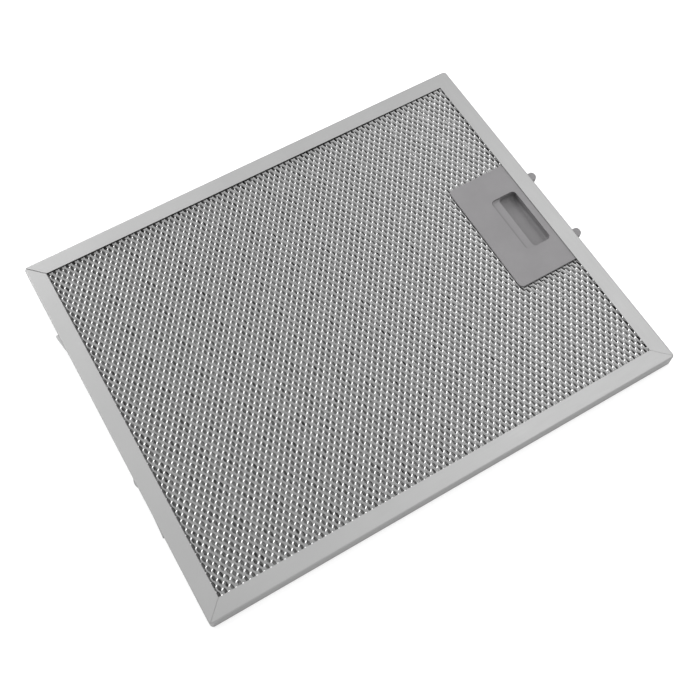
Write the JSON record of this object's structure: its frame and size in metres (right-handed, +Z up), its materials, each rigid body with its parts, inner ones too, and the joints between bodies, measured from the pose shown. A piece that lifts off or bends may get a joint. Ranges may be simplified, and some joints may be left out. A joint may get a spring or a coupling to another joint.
{
  "type": "cooker hood grease filter",
  "caption": "Rectangular cooker hood grease filter: folded aluminium frame round layered expanded mesh, with a sprung finger latch on one short side and fixed tabs on the other.",
  "frame": {"origin": "middle of the frame on the rear face, which lies on the table", "axes": "+X towards the latch side, +Y across the filter, +Z up out of the front face"},
  "size_m": [0.3266, 0.261, 0.01],
  "materials": {
    "frame_aluminium": "satin anodised",
    "rivet_aluminium": "plain",
    "mesh_aluminium": "bright expanded mesh",
    "foil_aluminium": "crimped expanded foil",
    "latch_plastic": "fine textured grey moulding",
    "spring_steel": "drawn wire"
  },
  "bodies": {
    "filter": {"frame": "frame_aluminium", "frame_rivet": "rivet_aluminium", "front_mesh": "mesh_aluminium", "rear_mesh": "mesh_aluminium", "inner_mesh_1": "foil_aluminium", "inner_mesh_2": "foil_aluminium", "inner_mesh_3": "foil_aluminium", "latch_plate": "latch_plastic", "latch_housing": "latch_plastic", "latch_spring_near": "spring_steel", "latch_spring_far": "spring_steel"},
    "slider": {"latch_slider": "latch_plastic"}
  },
  "joints": [
    {"name": "latch_slide", "type": "slide", "parent": "filter", "child": "slider", "axis": [-1, 0, 0], "range_m": [0, 0.0055], "stiffness_N_per_m": 600, "springref_m": -0.004, "deforming": ["latch_spring_near", "latch_spring_far"]}
  ]
}
